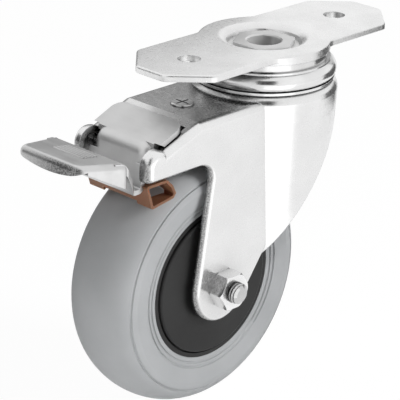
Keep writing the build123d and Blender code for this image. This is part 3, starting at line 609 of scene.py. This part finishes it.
RUBBER = (0.47, 0.48, 0.49), (0.43, 0.44, 0.45)
RUBBER_SCUFF = (0.40, 0.41, 0.42)
BLACK = greys(0.024, 0.016)
BLACK_SCUFF = (0.06, 0.06, 0.06)
BROWN = (0.24, 0.115, 0.06), (0.18, 0.08, 0.042)
# the shoe's pale edge tone is partly a painted highlight on its rims
BROWN_SCUFF_AND_HIGHLIGHT = (0.62, 0.42, 0.32)

grey_rubber = moulded(
    "grey_rubber", RUBBER, (0.55, 0.75), 1500.0, 0.00002,
    dust=0.08, specular=0.35, scuff_and_highlight=RUBBER_SCUFF,
)
black_plastic = moulded(
    "black_plastic", BLACK, (0.35, 0.50), 2200.0, 0.00001,
    dust=0.02, specular=0.25, scuff_and_highlight=BLACK_SCUFF,
)
brown_shoe = moulded(
    "brown_shoe", BROWN, (0.40, 0.55), 1200.0, 0.00001,
    dust=0.03, specular=0.4, scuff_and_highlight=BROWN_SCUFF_AND_HIGHLIGHT, thin=0.15,
)
print("moulded finishes made")

# %% [markdown]
# ## Dressing the solids
#
# The shapes of the solids are right, so each keeps its own mesh and only gets its finish.

# %% Assign finishes
FINISHES = {
    zinc_plate: ["top_plate"],
    zinc_pin: ["king_pin"],
    zinc_rivet: ["spring_rivet"],
    zinc_turned: ["upper_race", "dust_cover", "lower_race", "crown_race", "pivot_studs"],
    zinc_sheet: ["fork"],
    zinc_lever: ["brake_lever"],
    zinc_bolt: ["axle_nut", "axle_tube", "axle_bolt"],
    spring_steel: ["leaf_spring"],
    ball_steel: ["upper_balls", "lower_balls", "rollers"],
    grey_rubber: ["tyre"],
    black_plastic: ["wheel_centre", "thread_guard_near", "thread_guard_far", "roller_cage"],
    brown_shoe: ["brake_shoe"],
}
for finish, names in FINISHES.items():
    for name in names:
        slots = nodes[name].data.materials
        slots.clear()
        slots.append(finish)
print("dressed:", sum(len(names) for names in FINISHES.values()), "of", len(nodes))

# %% [markdown]
# ## Axle bolt with a real thread
#
# The bolt is an M8 with a coarse thread, 1.25 mm a turn, and its end stands out of the nut where
# everyone sees it. A thread is one helical ridge, so the shank is made of rings whose radius
# depends on the height and on the angle: the ridge climbs one pitch in one turn. The hexagon is
# made of rings too, with the corners cut by a shallow cone, as on a forged head.

# %% Bolt sizes
AXLE_X, AXLE_Z = -0.040, -0.084
SIDES = 48
BOLT_RADIUS = 0.004
THREAD_PITCH, THREAD_DEPTH = 0.00125, 0.00072
THREAD_LENGTH = 0.0075
VALLEY_HALF = 0.42  # half width of the valley, as a share of the pitch
RINGS_PER_TURN = 12
TIP_LENGTH, TIP_CUT = 0.0010, 0.0014
HEAD_HEIGHT = 0.0053
HEX_HALF = 0.0065
HEAD_CONE = math.radians(60)
SMOOTH_ANGLE = math.radians(28)

bolt_low, bolt_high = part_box("axle_bolt")
HEAD_BASE = bolt_high.y - HEAD_HEIGHT
THREAD_START = bolt_low.y + THREAD_LENGTH
print("bolt from y =", round(bolt_low.y, 4), "to", round(bolt_high.y, 4))


# %% Bolt mesh
def ring(work, y, radius_at):
    """A closed ring of points round the axle line."""
    points = []
    for side in range(SIDES):
        angle = 2 * math.pi * side / SIDES
        radius = radius_at(angle, y)
        x, z = AXLE_X + radius * math.cos(angle), AXLE_Z + radius * math.sin(angle)
        points.append(work.verts.new((x, y, z)))
    return points


def skin(work, rings):
    """Faces between rings, and one face at each end."""
    for lower, upper in zip(rings, rings[1:]):
        for side in range(SIDES):
            after = (side + 1) % SIDES
            work.faces.new((lower[side], lower[after], upper[after], upper[side]))
    work.faces.new(list(reversed(rings[0])))
    work.faces.new(rings[-1])


def thread(angle, y):
    """Radius of the shank: a ridge with a flat crest, fading out, under a cone at the tip."""
    phase = (y / THREAD_PITCH - angle / (2 * math.pi)) % 1.0
    valley = max(0.0, 1 - abs(phase - 0.5) / VALLEY_HALF)
    fade = min(1.0, max(0.0, (THREAD_START - y) / THREAD_PITCH))
    tip = BOLT_RADIUS - TIP_CUT * max(0.0, 1 - (y - bolt_low.y) / TIP_LENGTH)
    return min(BOLT_RADIUS - THREAD_DEPTH * valley * fade, tip)


def head(angle, y):
    """Radius of the head: a hexagon with corners along X, cut by a cone at its outer face."""
    turn = angle % (math.pi / 3) - math.pi / 6
    hexagon = HEX_HALF / math.cos(turn)
    return min(hexagon, HEX_HALF * 0.98 + (bolt_high.y - y) * math.tan(HEAD_CONE))


work = bmesh.new()
head_heights = [HEAD_BASE, HEAD_BASE + 0.0002]
head_heights += [bolt_high.y - drop for drop in (0.0009, 0.0006, 0.0003, 0.0)]
skin(work, [ring(work, y, head) for y in head_heights])
thread_rings = round((THREAD_START - bolt_low.y) / THREAD_PITCH * RINGS_PER_TURN)
rise = THREAD_PITCH / RINGS_PER_TURN
shank_heights = [bolt_low.y + index * rise for index in range(thread_rings + 1)]
shank_heights.append(HEAD_BASE + 0.0001)
skin(work, [ring(work, y, thread) for y in shank_heights])
bmesh.ops.recalc_face_normals(work, faces=work.faces)
bolt_mesh = bpy.data.meshes.new("threaded_bolt")
work.to_mesh(bolt_mesh)
work.free()
bolt_mesh.polygons.foreach_set("use_smooth", [True] * len(bolt_mesh.polygons))
bolt_mesh.set_sharp_from_angle(angle=SMOOTH_ANGLE)
bolt_mesh.materials.append(zinc_thread)
bolt = bpy.data.objects.new("threaded_bolt", bolt_mesh)
scene.collection.objects.link(bolt)
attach(bolt, "fork")
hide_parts("axle_bolt")
print("bolt faces:", len(bolt_mesh.polygons))
